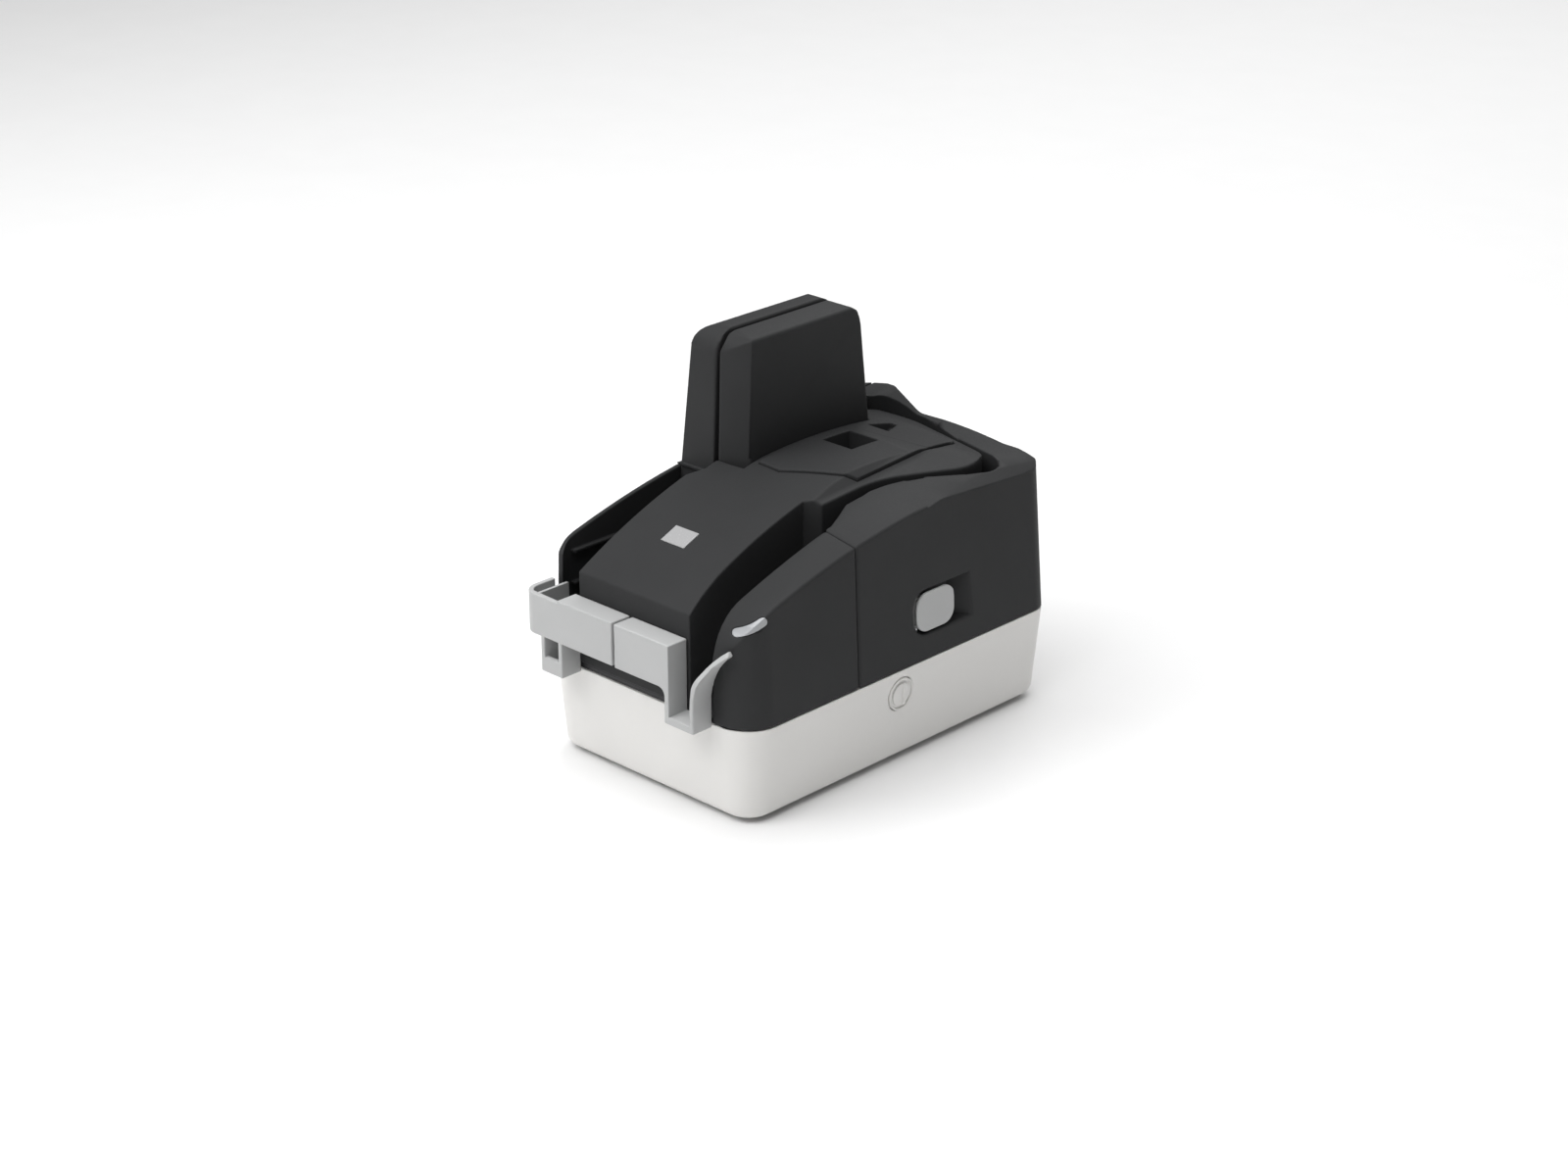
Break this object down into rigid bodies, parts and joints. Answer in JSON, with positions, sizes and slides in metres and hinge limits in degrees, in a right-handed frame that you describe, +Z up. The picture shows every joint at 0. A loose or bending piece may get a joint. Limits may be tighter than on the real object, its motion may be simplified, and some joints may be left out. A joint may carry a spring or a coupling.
{
  "type": "cheque scanner",
  "caption": "Desktop cheque scanner: on-edge document track round a centre island, sensor tower, feed and exit guides, hinged side covers, lift-off cartridge cover.",
  "frame": {"origin": "middle of the footprint of the whole machine, on the table under the feet", "axes": "+Z up, -Y towards the user (feed and exit guides), +X to the user's right"},
  "size_m": [0.1349, 0.218, 0.1881],
  "materials": {
    "light_shell": "light warm grey, satin moulding",
    "dark_shell": "charcoal, fine texture",
    "guide_grey": "mid grey, satin",
    "chassis_black": "black moulding",
    "foot_rubber": "black rubber",
    "steel": "plated steel",
    "bronze": "sintered bronze",
    "shaft_white": "natural acetal",
    "lens": "translucent lens",
    "label": "blank printed label",
    "board": "circuit board",
    "sensor": "sensor housing",
    "glass": "clear glass",
    "ink": "ink cartridge"
  },
  "bodies": {
    "chassis": {"base_tub": "light_shell", "rubber_feet": "foot_rubber", "deck_screws": "steel", "chassis_deck": "chassis_black", "shaft_plate": "steel", "shaft_bushes": "bronze", "front_right_cover": "dark_shell", "island_cover": "dark_shell", "tower_right_shell": "dark_shell", "exit_guide": "guide_grey", "feed_guide": "guide_grey", "status_light": "lens", "label_plate": "label", "usb_socket": "steel", "power_socket": "chassis_black", "main_board": "board", "motor": "steel", "drive_belt": "foot_rubber", "pickup_belt": "foot_rubber", "right_sensor": "sensor", "right_glass": "glass", "magnetic_head": "steel", "cartridge_holder": "chassis_black", "ink_cartridge": "ink", "rear_corner": "dark_shell", "side_hinge_pin": "steel", "left_hinge_pin": "steel", "tower_pinch_axle": "steel"},
    "rotor": {"motor_pulley": "steel"},
    "pickup": {"pickup_shaft": "shaft_white", "pickup_roller": "foot_rubber"},
    "feed": {"feed_shaft": "shaft_white", "feed_roller": "foot_rubber"},
    "run": {"run_shaft": "shaft_white", "run_roller": "foot_rubber"},
    "rear": {"rear_shaft": "shaft_white", "rear_roller": "foot_rubber"},
    "tower": {"tower_shaft": "shaft_white", "tower_roller": "foot_rubber"},
    "exit": {"exit_shaft": "shaft_white", "exit_roller": "foot_rubber"},
    "side_door": {"side_cover": "dark_shell", "side_latch_pin": "steel", "side_pinch_axles": "steel"},
    "latch": {"side_latch": "guide_grey"},
    "retard": {"retard_roller": "foot_rubber"},
    "run_pinch": {"run_pinch_roller": "foot_rubber"},
    "rear_pinch": {"rear_pinch_roller": "foot_rubber"},
    "left_door": {"left_cover": "dark_shell", "tower_left_shell": "dark_shell", "left_sensor": "sensor", "left_glass": "glass", "exit_pinch_axle": "steel"},
    "exit_pinch": {"exit_pinch_roller": "foot_rubber"},
    "tower_pinch": {"tower_pinch_roller": "foot_rubber"},
    "lid": {"cartridge_cover": "dark_shell"},
    "hopper_plate": {"pressure_plate": "guide_grey"},
    "button": {"power_button": "light_shell"}
  },
  "joints": [
    {"name": "side_cover_hinge", "type": "hinge", "parent": "chassis", "child": "side_door", "pos_m": [-0.038, 0.1, 0.072], "axis": [0, 0, 1], "range_deg": [0, 60]},
    {"name": "left_cover_hinge", "type": "hinge", "parent": "chassis", "child": "left_door", "pos_m": [-0.059, 0.087, 0.072], "axis": [0, 0, -1], "range_deg": [0, 40]},
    {"name": "side_latch_hinge", "type": "hinge", "parent": "side_door", "child": "latch", "pos_m": [0.0615, 0.01685, 0.071], "axis": [0, 0, -1], "range_deg": [0, 20], "stiffness_Nm_per_rad": 0.02, "springref_deg": -11.46},
    {"name": "cartridge_cover_lift", "type": "slide", "parent": "chassis", "child": "lid", "axis": [0, 0, 1], "range_m": [0, 0.03]},
    {"name": "power_button_press", "type": "slide", "parent": "chassis", "child": "button", "axis": [-0.996, 0, 0.0896], "range_m": [0, 0.0012], "stiffness_N_per_m": 300, "springref_m": -0.001},
    {"name": "pressure_plate_hinge", "type": "hinge", "parent": "chassis", "child": "hopper_plate", "pos_m": [0.0432, -0.083, 0.072], "axis": [0, 0, 1], "range_deg": [0, 12], "stiffness_Nm_per_rad": 0.01, "springref_deg": -17.19},
    {"name": "motor_spin", "type": "hinge", "parent": "chassis", "child": "rotor", "pos_m": [-0.009, -0.039, 0.03], "axis": [0, 0, 1], "continuous": true},
    {"name": "pickup_roller_spin", "type": "hinge", "parent": "chassis", "child": "pickup", "pos_m": [0.0195, -0.047, 0.066], "axis": [0, 0, 1], "continuous": true},
    {"name": "feed_roller_spin", "type": "hinge", "parent": "chassis", "child": "feed", "pos_m": [0.02685, -0.006, 0.066], "axis": [0, 0, 1], "continuous": true},
    {"name": "run_roller_spin", "type": "hinge", "parent": "chassis", "child": "run", "pos_m": [0.04079, 0.0529, 0.066], "axis": [0, 0, 1], "continuous": true},
    {"name": "rear_roller_spin", "type": "hinge", "parent": "chassis", "child": "rear", "pos_m": [0.01929, 0.08411, 0.066], "axis": [0, 0, 1], "continuous": true},
    {"name": "tower_roller_spin", "type": "hinge", "parent": "chassis", "child": "tower", "pos_m": [-0.02938, 0.08116, 0.066], "axis": [0, 0, 1], "continuous": true},
    {"name": "exit_roller_spin", "type": "hinge", "parent": "chassis", "child": "exit", "pos_m": [-0.02985, -0.0213, 0.066], "axis": [0, 0, 1], "continuous": true},
    {"name": "retard_spin", "type": "hinge", "parent": "side_door", "child": "retard", "pos_m": [0.04065, -0.006, 0.066], "axis": [0, 0, 1], "continuous": true},
    {"name": "run_pinch_spin", "type": "hinge", "parent": "side_door", "child": "run_pinch", "pos_m": [0.0533, 0.04707, 0.066], "axis": [0, 0, 1], "continuous": true},
    {"name": "rear_pinch_spin", "type": "hinge", "parent": "side_door", "child": "rear_pinch", "pos_m": [0.0232, 0.09735, 0.066], "axis": [0, 0, 1], "continuous": true},
    {"name": "exit_pinch_spin", "type": "hinge", "parent": "left_door", "child": "exit_pinch", "pos_m": [-0.04365, -0.0213, 0.066], "axis": [0, 0, 1], "continuous": true},
    {"name": "tower_pinch_spin", "type": "hinge", "parent": "chassis", "child": "tower_pinch", "pos_m": [-0.04083, 0.08401, 0.066], "axis": [0, 0, 1], "continuous": true}
  ],
  "couplings": [
    {"joint": "motor_spin", "follows": "feed_roller_spin", "ratio": 1},
    {"joint": "pickup_roller_spin", "follows": "feed_roller_spin", "ratio": 1},
    {"joint": "run_roller_spin", "follows": "feed_roller_spin", "ratio": 1},
    {"joint": "rear_roller_spin", "follows": "feed_roller_spin", "ratio": 1},
    {"joint": "tower_roller_spin", "follows": "feed_roller_spin", "ratio": 1},
    {"joint": "exit_roller_spin", "follows": "feed_roller_spin", "ratio": 1},
    {"joint": "retard_spin", "follows": "feed_roller_spin", "ratio": -1.25},
    {"joint": "run_pinch_spin", "follows": "feed_roller_spin", "ratio": -1.25},
    {"joint": "rear_pinch_spin", "follows": "feed_roller_spin", "ratio": -1.25},
    {"joint": "tower_pinch_spin", "follows": "feed_roller_spin", "ratio": -1.875},
    {"joint": "exit_pinch_spin", "follows": "feed_roller_spin", "ratio": -1.25}
  ]
}
